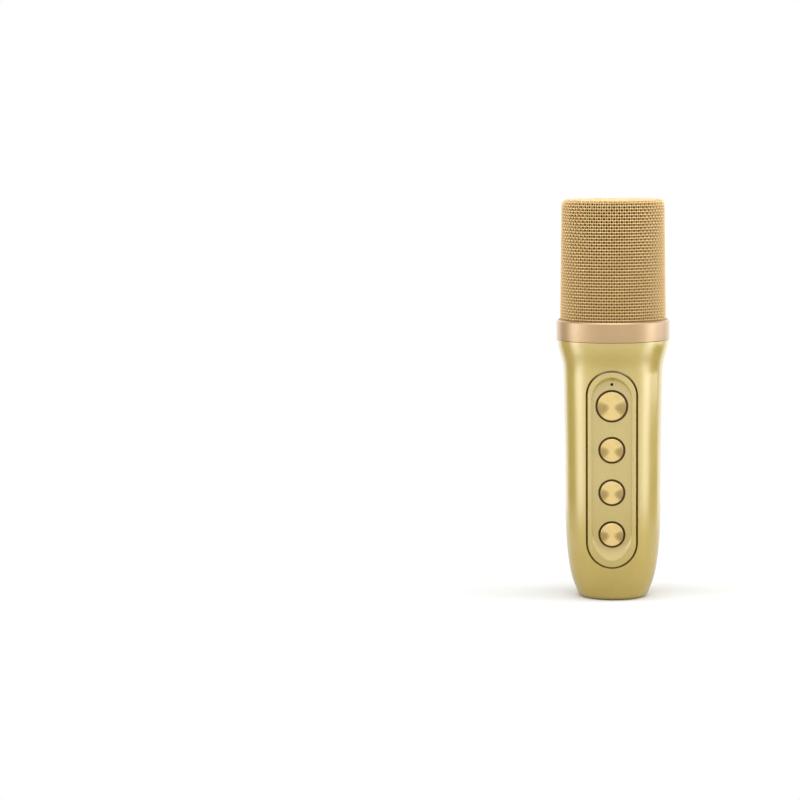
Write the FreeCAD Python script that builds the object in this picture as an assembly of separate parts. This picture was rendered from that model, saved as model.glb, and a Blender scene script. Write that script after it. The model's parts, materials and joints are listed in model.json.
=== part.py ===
import FreeCAD, Part
import math
import os

# A wireless hand-held karaoke microphone, standing on its base.
# Millimetres, +Z up along the microphone's axis, origin at the centre of the base, front towards -Y.
# Every function returns one sub-part, and every sub-part is written to its own STEP file.

# ---- driving dimensions ---------------------------------------------------------------------------

TOTAL_HEIGHT = 160.0

# Handle barrel: outline stations as (height, outer radius), from the foot round up to the neck
FOOT_FLAT_R = 12.4
FOOT_STATIONS = [(0.9, 13.85), (2.7, 14.65), (5.3, 15.7), (9.0, 16.85), (14.0, 17.8), (22.0, 18.65)]
GRIP_STATIONS = [(32.0, 19.2), (56.0, 19.53), (76.0, 19.85)]
NECK_Z = 90.0
NECK_R = 20.13
FLARE_STATIONS = [(93.0, 20.3), (96.0, 20.9), (99.5, 21.9)]
LIP_Z = 102.0
LIP_R = 22.42
BODY_TOP_Z = 104.0
BODY_TOP_R = 22.55
LIP_CHAMFER = 0.25
WALL = 2.0
FLOOR_TOP_Z = 4.0

# Button panel: a stadium set into the front, its inner face sunk and flat across.
# The sunk part widens from DISH_DEEP to DISH_MOUTH, each given as (y, half width, low z, high z).
GROOVE_HALF_WIDTH = 9.95
GROOVE_LOW_Z = 13.8
GROOVE_HIGH_Z = 92.6
GROOVE_GAP = 0.75
FACE_INSET = 2.15
PANEL_BACK_INSET = 3.5
LEDGE_BACK_INSET = 4.9
LEDGE_WIDTH = 1.4
DISH_DEEP = (-15.0, 7.6, 23.8, 87.0)
DISH_MOUTH = (-22.0, 8.5, 8.7, 91.5)

# Buttons: name, height, cap radius
BUTTONS = [("power", 78.65, 5.66), ("upper", 61.05, 4.55), ("middle", 44.05, 4.55), ("lower", 27.2, 4.55)]
BUTTON_GAP = 0.85
BUTTON_PROUD = 0.6
BUTTON_EDGE = 0.25
FLANGE_EXTRA = 1.25
FLANGE_THICK = 0.8
FLANGE_CLEAR = 0.12
STEM_R = 1.5
INDICATOR_Z = 87.3
INDICATOR_R = 0.55

# Main board, parallel to the panel, with its tact switches on the front
BOARD_FRONT_Y = -8.9
BOARD_BACK_Y = -7.3
BOARD_HALF_WIDTH = 9.0
BOARD_LOW_Z = 13.5
BOARD_HIGH_Z = 89.5
SWITCH_HALF = 3.0
SWITCH_FRONT_Y = -12.3
PLUNGER_R = 1.7
PLUNGER_FRONT_Y = -13.0
PLUNGER_BACK_Y = -11.6
PLUNGER_WELL_Y = -11.15
PLUNGER_CLEAR = 0.08

# Chassis plate between the board and the battery
PLATE_FRONT_Y = -5.0
PLATE_BACK_Y = -3.2
PLATE_HALF_WIDTH = 12.0
PLATE_LOW_Z = 12.5
DECK_LOW_Z = 90.0
DECK_HIGH_Z = 92.0
DECK_R = 17.6
DECK_FRONT_Y = -13.2
BOSS_X = 14.4

# Battery, a 65 mm by 18.5 mm cylindrical lithium cell behind the chassis plate
CELL_R = 9.25
CELL_LENGTH = 65.0
CELL_Y = 6.3
CELL_LOW_Z = 17.0
TAB_THICK = 0.2
TAB_R = 6.5

# Neck sleeve and its screw thread, made as plain cylinders with a running clearance
SLEEVE_LOW_Z = 95.0
SOCKET_R = 18.6
SLEEVE_R = 18.55
SLEEVE_BORE_R = 17.0
THREAD_R = 19.02
THREAD_BORE_R = 19.1
THREAD_TOP_Z = 109.0
SLEEVE_WEB_LOW_Z = 101.8
SLEEVE_WEB_HIGH_Z = 104.2
SLEEVE_WEB_R = 13.0

# Grille head
COLLAR_R = 22.7
COLLAR_LOW_Z = 104.1
COLLAR_HIGH_Z = 112.0
COLLAR_LEDGE_Z = 109.0
COLLAR_MOUTH_R = 21.7
COLLAR_TOP_CHAMFER = 0.6
COLLAR_BOTTOM_CHAMFER = 0.15
GASKET_SEAT_Z = 104.4
GASKET_SEAT_INNER_R = 19.35
GASKET_SEAT_OUTER_R = 21.95
GASKET_CLEAR = 0.05
MESH_THICK = 0.9
MESH_LOW_Z = 109.05
MESH_LOW_R = 21.32
MESH_HIGH_Z = 156.3
MESH_HIGH_R = 20.7
MESH_SHOULDER_R = 3.7
FOAM_THICK = 3.0
FOAM_GAP = 0.2

# Foot plate with the charging port
PORT_PLATE_R = 10.1
PORT_PLATE_LOW_Z = 0.3
PORT_PLATE_HIGH_Z = 1.8
PORT_PLATE_GAP = 0.1
FOOT_HOLE_R = 7.0
FOOT_SCREW_Y = 8.4
PORT_HALF_WIDTH = 4.47
PORT_HALF_DEPTH = 1.58
PORT_MOUTH_Z = 0.45
CHARGE_BOARD_LOW_Z = 8.2
CHARGE_BOARD_HIGH_Z = 9.4
CHARGE_BOARD_R = 11.2

# Screws: shank radius, head radius, head height
SMALL_SCREW = (0.8, 1.3, 0.8)
BOARD_SCREW = (0.95, 1.8, 1.2)
SCREW_FIT = 0.03

LEAD_R = 0.45
X_AXIS = FreeCAD.Vector(1, 0, 0)
Y_AXIS = FreeCAD.Vector(0, 1, 0)
Z_AXIS = FreeCAD.Vector(0, 0, 1)
ORIGIN = FreeCAD.Vector(0, 0, 0)


# ---- shape helpers --------------------------------------------------------------------------------

def vec(x, y, z):
    return FreeCAD.Vector(x, y, z)


def box(x, y, z):
    """A box from its (low, high) pairs along X, Y and Z."""
    size = (x[1] - x[0], y[1] - y[0], z[1] - z[0])
    return Part.makeBox(size[0], size[1], size[2], vec(x[0], y[0], z[0]))


def rod(radius, start, axis, length):
    return Part.makeCylinder(radius, length, start, axis)


def disc(radius, low_z, high_z, x=0.0, y=0.0):
    return rod(radius, vec(x, y, low_z), Z_AXIS, high_z - low_z)


def lathe(points):
    """Turn a closed outline of (radius, height) corners about the microphone's axis."""
    corners = [vec(r, 0, z) for r, z in points]
    outline = Part.makePolygon(corners + corners[:1])
    return Part.Face(outline).revolve(ORIGIN, Z_AXIS, 360)


def lathe_edges(edges):
    """Turn a closed outline of edges, drawn in the XZ plane, about the microphone's axis."""
    return Part.Face(Part.Wire(edges)).revolve(ORIGIN, Z_AXIS, 360)


def group(solids):
    return Part.makeCompound(solids)


def fused(shapes):
    """Join the shapes into one clean solid."""
    joined = shapes[0].multiFuse(shapes[1:]).removeSplitter()
    return joined.Solids[0]


def drilled(shape, tools):
    """Cut all the tools from the shape and return its one solid."""
    return shape.cut(tools).Solids[0]


def smooth_edge(points):
    curve = Part.BSplineCurve()
    curve.interpolate(Points=points)
    return curve.toShape()


def stadium_wire(half_width, low, high, place):
    """Two straight sides joined by half circles; place(u, v) gives the corner positions."""
    low_centre = low + half_width
    high_centre = high - half_width
    right = Part.LineSegment(place(half_width, low_centre), place(half_width, high_centre))
    over = Part.Arc(place(half_width, high_centre), place(0, high), place(-half_width, high_centre))
    left = Part.LineSegment(place(-half_width, high_centre), place(-half_width, low_centre))
    under = Part.Arc(place(-half_width, low_centre), place(0, low), place(half_width, low_centre))
    return Part.Wire([curve.toShape() for curve in (right, over, left, under)])


def front_stadium(half_width, low_z, high_z, front_y, back_y):
    """A stadium standing in the XZ plane, carried from front_y to back_y."""
    wire = stadium_wire(half_width, low_z, high_z, lambda u, v: vec(u, front_y, v))
    return Part.Face(wire).extrude(vec(0, back_y - front_y, 0))


def upright_slot(half_width, half_depth, low_z, high_z):
    """A stadium lying in the XY plane, long along X, carried upwards."""
    wire = stadium_wire(half_depth, -half_width, half_width, lambda u, v: vec(v, -u, low_z))
    return Part.Face(wire).extrude(vec(0, 0, high_z - low_z))


def lead(points, bend_radius, radius=LEAD_R):
    """A wire of straight runs joined by tangent arcs, all of one bend radius."""
    corners = [vec(*point) for point in points]
    edges = []
    start = corners[0]
    for before, corner, after in zip(corners, corners[1:], corners[2:]):
        towards = (before - corner).normalize()
        away = (after - corner).normalize()
        half_turn = (math.pi - towards.getAngle(away)) / 2
        setback = bend_radius * math.tan(half_turn)
        bisector = (towards + away).normalize()
        arc_in = corner + towards * setback
        arc_out = corner + away * setback
        middle = corner + bisector * (bend_radius / math.cos(half_turn) - bend_radius)
        edges.append(Part.LineSegment(start, arc_in).toShape())
        edges.append(Part.Arc(arc_in, middle, arc_out).toShape())
        start = arc_out
    edges.append(Part.LineSegment(start, corners[-1]).toShape())
    path = Part.Wire(edges)
    section = Part.Wire(Part.makeCircle(radius, corners[0], corners[1] - corners[0]))
    return path.makePipeShell([section], True, False)


def screw(kind, x, y, seat_z, depth, direction=1):
    """A pan-head screw along Z. Its head stands beyond seat_z, on the side that direction gives."""
    shank_r, head_r, head_height = kind
    shank = rod(shank_r, vec(x, y, seat_z), Z_AXIS * -direction, depth)
    head = rod(head_r, vec(x, y, seat_z), Z_AXIS * direction, head_height)
    return fused([shank, head])


# ---- barrel outline -------------------------------------------------------------------------------

def grip_edge():
    """The barrel's long outline from the foot, over the grip and the neck, to the lip."""
    foot = [(0.0, FOOT_FLAT_R)] + FOOT_STATIONS
    flare = [(NECK_Z, NECK_R)] + FLARE_STATIONS + [(LIP_Z, LIP_R)]
    return smooth_edge([vec(r, 0, z) for z, r in foot + GRIP_STATIONS + flare])


def line(start, end):
    return Part.LineSegment(vec(start[0], 0, start[1]), vec(end[0], 0, end[1])).toShape()


def barrel_solid():
    """The whole outside of the handle, as one solid of revolution."""
    lip_side = BODY_TOP_Z - LIP_CHAMFER
    lip_top = BODY_TOP_R - LIP_CHAMFER
    edges = [
        line((0, 0), (FOOT_FLAT_R, 0)),
        grip_edge(),
        line((LIP_R, LIP_Z), (BODY_TOP_R, lip_side)),
        line((BODY_TOP_R, lip_side), (lip_top, BODY_TOP_Z)),
        line((lip_top, BODY_TOP_Z), (0, BODY_TOP_Z)),
        line((0, BODY_TOP_Z), (0, 0)),
    ]
    return lathe_edges(edges)


def cavity_solid():
    """The hollow inside the handle: floor, tapered bore and the socket for the neck sleeve."""
    stations = [(FLOOR_TOP_Z, 15.2)] + FOOT_STATIONS[3:] + GRIP_STATIONS + [(NECK_Z, NECK_R)]
    points = [vec(r - WALL, 0, z) for z, r in stations]
    bore = smooth_edge(points)
    bore_r = NECK_R - WALL
    edges = [
        line((0, FLOOR_TOP_Z), (points[0].x, FLOOR_TOP_Z)),
        bore,
        line((bore_r, NECK_Z), (bore_r, SLEEVE_LOW_Z)),
        line((bore_r, SLEEVE_LOW_Z), (SOCKET_R, SLEEVE_LOW_Z)),
        line((SOCKET_R, SLEEVE_LOW_Z), (SOCKET_R, BODY_TOP_Z + 1)),
        line((SOCKET_R, BODY_TOP_Z + 1), (0, BODY_TOP_Z + 1)),
        line((0, BODY_TOP_Z + 1), (0, FLOOR_TOP_Z)),
    ]
    return lathe_edges(edges)


def in_front_of(inset):
    """Everything in front of the barrel's front line moved inwards by inset, flat across in X."""
    half_span = 16.0
    far_y = -30.0
    stations = FOOT_STATIONS[2:] + GRIP_STATIONS + [(NECK_Z, NECK_R), (96.0, NECK_R + 0.1)]
    points = [vec(-half_span, inset - r, z) for z, r in stations]
    low = vec(-half_span, far_y, points[0].z)
    high = vec(-half_span, far_y, points[-1].z)
    edges = [
        smooth_edge(points),
        Part.LineSegment(points[-1], high).toShape(),
        Part.LineSegment(high, low).toShape(),
        Part.LineSegment(low, points[0]).toShape(),
    ]
    return Part.Face(Part.Wire(edges)).extrude(vec(2 * half_span, 0, 0))


def barrel_radius(height):
    """Outer radius of the barrel at a height, read from its outline."""
    curve = grip_edge().Curve
    low, high = curve.FirstParameter, curve.LastParameter
    for _ in range(50):
        middle = (low + high) / 2
        if curve.value(middle).z < height:
            low = middle
        else:
            high = middle
    return curve.value(low).x


# ---- handle: shell, panel, foot -------------------------------------------------------------------

def body_shell():
    shell = barrel_solid().cut(cavity_solid())
    opening = GROOVE_HALF_WIDTH + GROOVE_GAP / 2
    low = GROOVE_LOW_Z - GROOVE_GAP / 2
    high = GROOVE_HIGH_Z + GROOVE_GAP / 2
    pad = front_stadium(opening + LEDGE_WIDTH, low - LEDGE_WIDTH, high + LEDGE_WIDTH, -25.0, -8.0)
    pad = pad.common(in_front_of(LEDGE_BACK_INSET)).common(barrel_solid())
    bosses = [box((BOSS_X - 2.3, 18.6), (-2.3, 2.3), (82.0, DECK_LOW_Z)),
              box((-18.6, 2.3 - BOSS_X), (-2.3, 2.3), (82.0, DECK_LOW_Z))]
    ribs = []
    for side in (-1, 1):
        for rib_y in ((-6.2, -5.3), (-2.9, -2.0)):
            ribs.append(box(sorted((side * 11.2, side * 15.6)), rib_y, (14.0, 24.0)))
    posts = [disc(1.7, FLOOR_TOP_Z - 0.5, CHARGE_BOARD_LOW_Z, x, y) for x, y in charge_screw_places()]
    shell = fused([shell, pad] + bosses + ribs + posts)
    pocket = front_stadium(opening, low, high, -25.0, -8.0).common(in_front_of(PANEL_BACK_INSET))
    window = front_stadium(opening - LEDGE_WIDTH * 1.5, low + LEDGE_WIDTH * 1.5,
                           high - LEDGE_WIDTH * 1.5, -25.0, -10.0)
    tools = [pocket, window,
             disc(PORT_PLATE_R + PORT_PLATE_GAP, -1.0, PORT_PLATE_HIGH_Z),
             disc(FOOT_HOLE_R, -1.0, FLOOR_TOP_Z + 1.0)]
    pilot = SMALL_SCREW[0] + SCREW_FIT
    tools += [disc(pilot, 0.0, FLOOR_TOP_Z + 1.0, x, y) for x, y in foot_screw_places()]
    tools += [disc(pilot, FLOOR_TOP_Z + 0.6, CHARGE_BOARD_LOW_Z + 1.0, x, y)
              for x, y in charge_screw_places()]
    chassis_pilot = BOARD_SCREW[0] + SCREW_FIT
    tools += [disc(chassis_pilot, 83.0, DECK_LOW_Z + 1.0, x, 0.0) for x in (-BOSS_X, BOSS_X)]
    return drilled(shell, tools)


def button_panel():
    half_width = GROOVE_HALF_WIDTH - GROOVE_GAP / 2
    low = GROOVE_LOW_Z + GROOVE_GAP / 2
    high = GROOVE_HIGH_Z - GROOVE_GAP / 2
    blank = front_stadium(half_width, low, high, -25.0, -8.0)
    blank = blank.common(barrel_solid()).common(in_front_of(PANEL_BACK_INSET - 0.02))
    rings = [stadium_wire(half, low_z, high_z, lambda u, v, y=y: vec(u, y, v))
             for y, half, low_z, high_z in (DISH_DEEP, DISH_MOUTH)]
    dish = Part.makeLoft(rings, True).common(in_front_of(FACE_INSET))
    holes = [rod(cap_r + BUTTON_GAP, vec(0, -25, z), Y_AXIS, 20) for _, z, cap_r in BUTTONS]
    holes.append(rod(INDICATOR_R + 0.05, vec(0, -25, INDICATOR_Z), Y_AXIS, 20))
    return drilled(blank, [dish] + holes)


def face_y(height):
    """Y of the panel's sunk inner face at a height."""
    return FACE_INSET - barrel_radius(height)


def button_cap(height, cap_r):
    """Turned cap with a broken front edge, a flange behind the panel and a stem to its switch."""
    front = face_y(height) - BUTTON_PROUD
    flange_low_z = height - cap_r - FLANGE_EXTRA
    flange_y = PANEL_BACK_INSET - barrel_radius(flange_low_z) + FLANGE_CLEAR
    outline = [(0, front), (cap_r - BUTTON_EDGE, front), (cap_r, front + BUTTON_EDGE), (cap_r, flange_y),
               (cap_r + FLANGE_EXTRA, flange_y), (cap_r + FLANGE_EXTRA, flange_y + FLANGE_THICK),
               (STEM_R, flange_y + FLANGE_THICK), (STEM_R, PLUNGER_FRONT_Y), (0, PLUNGER_FRONT_Y)]
    corners = [vec(r, y, height) for r, y in outline]
    face = Part.Face(Part.makePolygon(corners + corners[:1]))
    return face.revolve(vec(0, 0, height), Y_AXIS, 360)


def switch_plunger(height):
    return rod(PLUNGER_R, vec(0, PLUNGER_FRONT_Y, height), Y_AXIS, PLUNGER_BACK_Y - PLUNGER_FRONT_Y)


def switch_housing(height):
    block = box((-SWITCH_HALF, SWITCH_HALF), (SWITCH_FRONT_Y, BOARD_FRONT_Y),
                (height - SWITCH_HALF, height + SWITCH_HALF))
    well = rod(PLUNGER_R + PLUNGER_CLEAR, vec(0, SWITCH_FRONT_Y - 1, height), Y_AXIS,
               PLUNGER_WELL_Y - SWITCH_FRONT_Y + 1)
    return drilled(block, [well])


def indicator_lens():
    """Light pipe from the small hole in the panel to the lamp on the board."""
    front = face_y(INDICATOR_Z) + 0.1
    back = BOARD_FRONT_Y - 0.8
    pipe = rod(INDICATOR_R, vec(0, front, INDICATOR_Z), Y_AXIS, back - front)
    collar = rod(1.2, vec(0, front + 2.0, INDICATOR_Z), Y_AXIS, 0.8)
    return fused([pipe, collar])


def foot_screw_places():
    return [(0.0, -FOOT_SCREW_Y), (0.0, FOOT_SCREW_Y)]


def charge_screw_places():
    return [(9.6 * math.cos(math.radians(a)), 9.6 * math.sin(math.radians(a))) for a in (0, 120, 240)]


def port_plate():
    plate = disc(PORT_PLATE_R, PORT_PLATE_LOW_Z, PORT_PLATE_HIGH_Z)
    tools = [upright_slot(PORT_HALF_WIDTH + 0.15, PORT_HALF_DEPTH + 0.15, -1.0, 3.0)]
    shank_r, head_r, head_height = SMALL_SCREW
    for x, y in foot_screw_places():
        tools.append(disc(shank_r + 0.15, -1.0, 3.0, x, y))
        tools.append(disc(head_r + 0.1, -1.0, PORT_PLATE_LOW_Z + head_height + 0.1, x, y))
    return drilled(plate, tools)


def port_plate_screws():
    seat = PORT_PLATE_LOW_Z + SMALL_SCREW[2] + 0.1
    depth = FLOOR_TOP_Z - 0.1 - seat
    return group([screw(SMALL_SCREW, x, y, seat, depth, -1) for x, y in foot_screw_places()])


def usb_port_shell():
    outside = upright_slot(PORT_HALF_WIDTH, PORT_HALF_DEPTH, PORT_MOUTH_Z, CHARGE_BOARD_LOW_Z)
    skin = 0.3
    inside = upright_slot(PORT_HALF_WIDTH - skin, PORT_HALF_DEPTH - skin, PORT_MOUTH_Z - 1,
                          CHARGE_BOARD_LOW_Z - 1.0)
    return drilled(outside, [inside])


def usb_port_tongue():
    return box((-3.3, 3.3), (-0.35, 0.35), (PORT_MOUTH_Z + 0.7, CHARGE_BOARD_LOW_Z - 1.0))


def charging_board():
    board = disc(CHARGE_BOARD_R, CHARGE_BOARD_LOW_Z, CHARGE_BOARD_HIGH_Z)
    holes = [disc(SMALL_SCREW[0] + 0.15, 7.0, 11.0, x, y) for x, y in charge_screw_places()]
    return drilled(board, holes)


def charging_board_screws():
    places = charge_screw_places()
    return group([screw(SMALL_SCREW, x, y, CHARGE_BOARD_HIGH_Z, 4.4) for x, y in places])


# ---- handle: chassis, board, battery --------------------------------------------------------------

def board_screw_places():
    return [(x, z) for x in (-6.9, 6.9) for z in (18.5, 85.0)]


def chassis_frame():
    cell_high = CELL_LOW_Z + CELL_LENGTH
    plate = box((-PLATE_HALF_WIDTH, PLATE_HALF_WIDTH), (PLATE_FRONT_Y, PLATE_BACK_Y),
                (PLATE_LOW_Z, DECK_LOW_Z))
    deck = disc(DECK_R, DECK_LOW_Z, DECK_HIGH_Z)
    ends = [box((-9, 9), (PLATE_BACK_Y, 12), (CELL_LOW_Z - 1.8, CELL_LOW_Z - 0.3)),
            box((-9, 9), (PLATE_BACK_Y, 12), (cell_high + 0.3, cell_high + 1.8))]
    saddles = [box((-11, 11), (PLATE_BACK_Y, 4.0), (z - 0.8, z + 0.8)) for z in (30.0, 50.0, 70.0)]
    posts = [rod(2.0, vec(x, BOARD_BACK_Y, z), Y_AXIS, PLATE_FRONT_Y - BOARD_BACK_Y)
             for x, z in board_screw_places()]
    frame = fused([plate, deck] + ends + saddles + posts)
    pilot = BOARD_SCREW[0] + SCREW_FIT
    tools = [disc(CELL_R + 0.15, CELL_LOW_Z, cell_high, 0, CELL_Y),
             disc(4.0, CELL_LOW_Z - 3, cell_high + 3, 0, CELL_Y),
             box((-20, 20), (-20, DECK_FRONT_Y), (DECK_LOW_Z - 1, DECK_HIGH_Z + 1)),
             box((-7, 7), (-12, -5.2), (DECK_LOW_Z - 1, DECK_HIGH_Z + 1)),
             box((-7, 7), (-6, -2), (cell_high + 3.0, DECK_LOW_Z)),
             box((-5.2, 5.2), (-6, -2), (PLATE_LOW_Z - 1, PLATE_LOW_Z + 2.4))]
    tools += [rod(pilot, vec(x, -8, z), Y_AXIS, 4.2) for x, z in board_screw_places()]
    tools += [disc(pilot + 0.1, DECK_LOW_Z - 1, DECK_HIGH_Z + 1, x) for x in (-BOSS_X, BOSS_X)]
    return drilled(frame, tools)


def chassis_screws():
    return group([screw(BOARD_SCREW, x, 0, DECK_HIGH_Z, 7.5) for x in (-BOSS_X, BOSS_X)])


def main_board():
    board = box((-BOARD_HALF_WIDTH, BOARD_HALF_WIDTH), (BOARD_FRONT_Y, BOARD_BACK_Y),
                (BOARD_LOW_Z, BOARD_HIGH_Z))
    holes = [rod(BOARD_SCREW[0] + 0.15, vec(x, -12, z), Y_AXIS, 8) for x, z in board_screw_places()]
    return drilled(board, holes)


def board_screws():
    shank_r, head_r, head_height = BOARD_SCREW
    screws = []
    for x, z in board_screw_places():
        head = rod(head_r, vec(x, BOARD_FRONT_Y - head_height, z), Y_AXIS, head_height)
        shank = rod(shank_r, vec(x, BOARD_FRONT_Y, z), Y_AXIS, 4.8)
        screws.append(fused([head, shank]))
    return group(screws)


def board_front_block(x, z, height):
    return box(x, (BOARD_FRONT_Y - height, BOARD_FRONT_Y), z)


def board_back_block(x, z, height):
    return box(x, (BOARD_BACK_Y, BOARD_BACK_Y + height), z)


def indicator_led():
    return board_front_block((-0.8, 0.8), (INDICATOR_Z - 0.6, INDICATOR_Z + 0.6), 0.7)


def radio_module():
    carrier = board_back_block((-6.5, 6.5), (56.0, 75.0), 0.8)
    can = box((-5.5, 5.5), (BOARD_BACK_Y + 0.8, BOARD_BACK_Y + 1.9), (57.0, 70.0))
    return fused([carrier, can])


def audio_processor():
    return board_back_block((-3.5, 3.5), (42.0, 49.0), 1.0)


def charge_controller():
    return board_back_block((-2.5, 2.5), (28.0, 33.0), 1.0)


def board_capacitors():
    places = [(-6.0, 36.0), (6.0, 36.0), (-6.0, 53.0), (6.0, 53.0)]
    return group([rod(2.0, vec(x, BOARD_FRONT_Y - 3.0, z), Y_AXIS, 3.0) for x, z in places])


def capsule_socket():
    return board_back_block((-4.2, 0.2), (79.0, 84.0), 1.7)


def power_sockets():
    """Board sockets for the battery's two leads and for the charging leads."""
    places = [((0.8, 4.4), (79.0, 82.5)), ((-4.4, -0.8), (17.5, 21.0)), ((1.0, 4.6), (17.5, 21.0))]
    return group([board_back_block(x, z, 1.7) for x, z in places])


def battery_cell():
    """Cylindrical cell with its raised positive cap."""
    high = CELL_LOW_Z + CELL_LENGTH
    groove_z = high - 4.0
    outline = [(0, CELL_LOW_Z), (CELL_R, CELL_LOW_Z), (CELL_R, groove_z), (CELL_R - 0.5, groove_z + 0.4),
               (CELL_R, groove_z + 0.8), (CELL_R, high - 0.4), (3.2, high - 0.4), (3.2, high), (0, high)]
    can = lathe(outline)
    can.translate(vec(0, CELL_Y, 0))
    return can


def battery_tab_top():
    low = CELL_LOW_Z + CELL_LENGTH + 0.03
    return disc(TAB_R, low, low + TAB_THICK, 0, CELL_Y)


def battery_tab_bottom():
    high = CELL_LOW_Z - 0.03
    return disc(TAB_R, high - TAB_THICK, high, 0, CELL_Y)


def battery_leads():
    lead_y = BOARD_BACK_Y + 0.85
    top = CELL_LOW_Z + CELL_LENGTH + 0.03 + TAB_THICK
    low = CELL_LOW_Z - 0.03 - TAB_THICK
    positive = lead([(2.6, CELL_Y, top), (2.6, CELL_Y, 87.0), (2.6, lead_y, 87.0), (2.6, lead_y, 82.5)], 1.5)
    negative = lead([(-2.6, CELL_Y, low), (-2.6, CELL_Y, 13.6), (-2.6, lead_y, 13.6),
                     (-2.6, lead_y, 17.5)], 1.5)
    return group([positive, negative])


def charging_leads():
    lead_y = BOARD_BACK_Y + 0.85
    wires = []
    for x in (2.0, 3.6):
        route = [(x, -2.0, CHARGE_BOARD_HIGH_Z), (x, -2.0, 11.4), (x, lead_y, 14.2), (x, lead_y, 17.5)]
        wires.append(lead(route, 1.5))
    return group(wires)


# ---- neck and capsule -----------------------------------------------------------------------------

def holder_screw_places():
    angles = (90, 210, 330)
    return [(15.2 * math.cos(math.radians(a)), 15.2 * math.sin(math.radians(a))) for a in angles]


def neck_sleeve():
    """Ring bonded into the handle's mouth; its upper half carries the thread for the grille head."""
    sleeve = lathe([(SLEEVE_BORE_R, SLEEVE_LOW_Z), (SLEEVE_R, SLEEVE_LOW_Z), (SLEEVE_R, BODY_TOP_Z),
                    (THREAD_R, BODY_TOP_Z), (THREAD_R, THREAD_TOP_Z - 0.4),
                    (THREAD_R - 0.4, THREAD_TOP_Z), (SLEEVE_BORE_R, THREAD_TOP_Z),
                    (SLEEVE_BORE_R, SLEEVE_WEB_HIGH_Z), (SLEEVE_WEB_R, SLEEVE_WEB_HIGH_Z),
                    (SLEEVE_WEB_R, SLEEVE_WEB_LOW_Z), (SLEEVE_BORE_R, SLEEVE_WEB_LOW_Z)])
    pilot = SMALL_SCREW[0] + SCREW_FIT
    tools = [disc(pilot, SLEEVE_WEB_LOW_Z - 1, SLEEVE_WEB_HIGH_Z + 1, x, y)
             for x, y in holder_screw_places()]
    return drilled(sleeve, tools)


def capsule_holder():
    """Flanged stalk on the neck, ending in a cup for the capsule's rubber mount."""
    low = SLEEVE_WEB_HIGH_Z
    holder = lathe([(8.4, low), (16.9, low), (16.9, low + 1.8), (10.0, low + 1.8), (10.0, 117.0),
                    (15.0, 119.5), (15.0, 128.0), (13.6, 128.0), (13.6, 120.6), (8.4, 119.2)])
    holes = [disc(SMALL_SCREW[0] + 0.15, low - 1, low + 3, x, y) for x, y in holder_screw_places()]
    return drilled(holder, holes)


def holder_screws():
    seat = SLEEVE_WEB_HIGH_Z + 1.8
    return group([screw(SMALL_SCREW, x, y, seat, 4.0) for x, y in holder_screw_places()])


def capsule_mount():
    """Rubber cup between the holder and the capsule."""
    return lathe([(10.2, 120.7), (13.55, 120.7), (13.55, 129.0), (12.05, 129.0), (12.05, 122.0),
                  (10.2, 122.0)])


def capsule_body():
    return lathe([(0, 122.05), (12.0, 122.05), (12.0, 136.8), (11.0, 138.2), (0, 138.2)])


def capsule_cap():
    """Perforated metal cap over the capsule's diaphragm."""
    cap = lathe([(12.05, 130.5), (12.6, 130.5), (12.6, 138.4), (11.9, 139.1), (0, 139.1), (0, 138.5),
                 (11.6, 138.5), (12.05, 138.1)])
    holes = [disc(0.7, 137.0, 141.0)]
    for ring_r, count in ((3.2, 6), (6.4, 12), (9.4, 18)):
        for step in range(count):
            angle = 2 * math.pi * step / count
            holes.append(disc(0.7, 137.0, 141.0, ring_r * math.cos(angle), ring_r * math.sin(angle)))
    return drilled(cap, holes)


def capsule_leads():
    lead_y = BOARD_BACK_Y + 0.85
    wires = []
    for x in (-3.0, -1.2):
        route = [(x, 0, 122.05), (x, 0, 101.0), (x, lead_y, 95.0), (x, lead_y, 84.0)]
        wires.append(lead(route, 4.0))
    return group(wires)


# ---- grille head ----------------------------------------------------------------------------------

def head_gasket():
    """Washer lying in the collar's underside on the handle's lip, carried up by the turning head."""
    inner_r = GASKET_SEAT_INNER_R + GASKET_CLEAR
    outer_r = GASKET_SEAT_OUTER_R - GASKET_CLEAR
    low_z = BODY_TOP_Z + GASKET_CLEAR
    high_z = GASKET_SEAT_Z - GASKET_CLEAR
    return lathe([(inner_r, low_z), (outer_r, low_z), (outer_r, high_z), (inner_r, high_z)])


def collar_ring():
    """Ring with a threaded bore, a seat for the basket above and a seat for the gasket below."""
    return lathe([(THREAD_BORE_R, COLLAR_LOW_Z), (GASKET_SEAT_INNER_R, COLLAR_LOW_Z),
                  (GASKET_SEAT_INNER_R, GASKET_SEAT_Z), (GASKET_SEAT_OUTER_R, GASKET_SEAT_Z),
                  (GASKET_SEAT_OUTER_R, COLLAR_LOW_Z),
                  (COLLAR_R - COLLAR_BOTTOM_CHAMFER, COLLAR_LOW_Z),
                  (COLLAR_R, COLLAR_LOW_Z + COLLAR_BOTTOM_CHAMFER),
                  (COLLAR_R, COLLAR_HIGH_Z - COLLAR_TOP_CHAMFER),
                  (COLLAR_R - COLLAR_TOP_CHAMFER, COLLAR_HIGH_Z), (COLLAR_MOUTH_R, COLLAR_HIGH_Z),
                  (COLLAR_MOUTH_R, COLLAR_LEDGE_Z), (THREAD_BORE_R, COLLAR_LEDGE_Z)])


def basket_radius(height):
    """Outer radius of the basket's slightly tapered side."""
    share = (height - MESH_LOW_Z) / (MESH_HIGH_Z - MESH_LOW_Z)
    return MESH_LOW_R + share * (MESH_HIGH_R - MESH_LOW_R)


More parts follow.
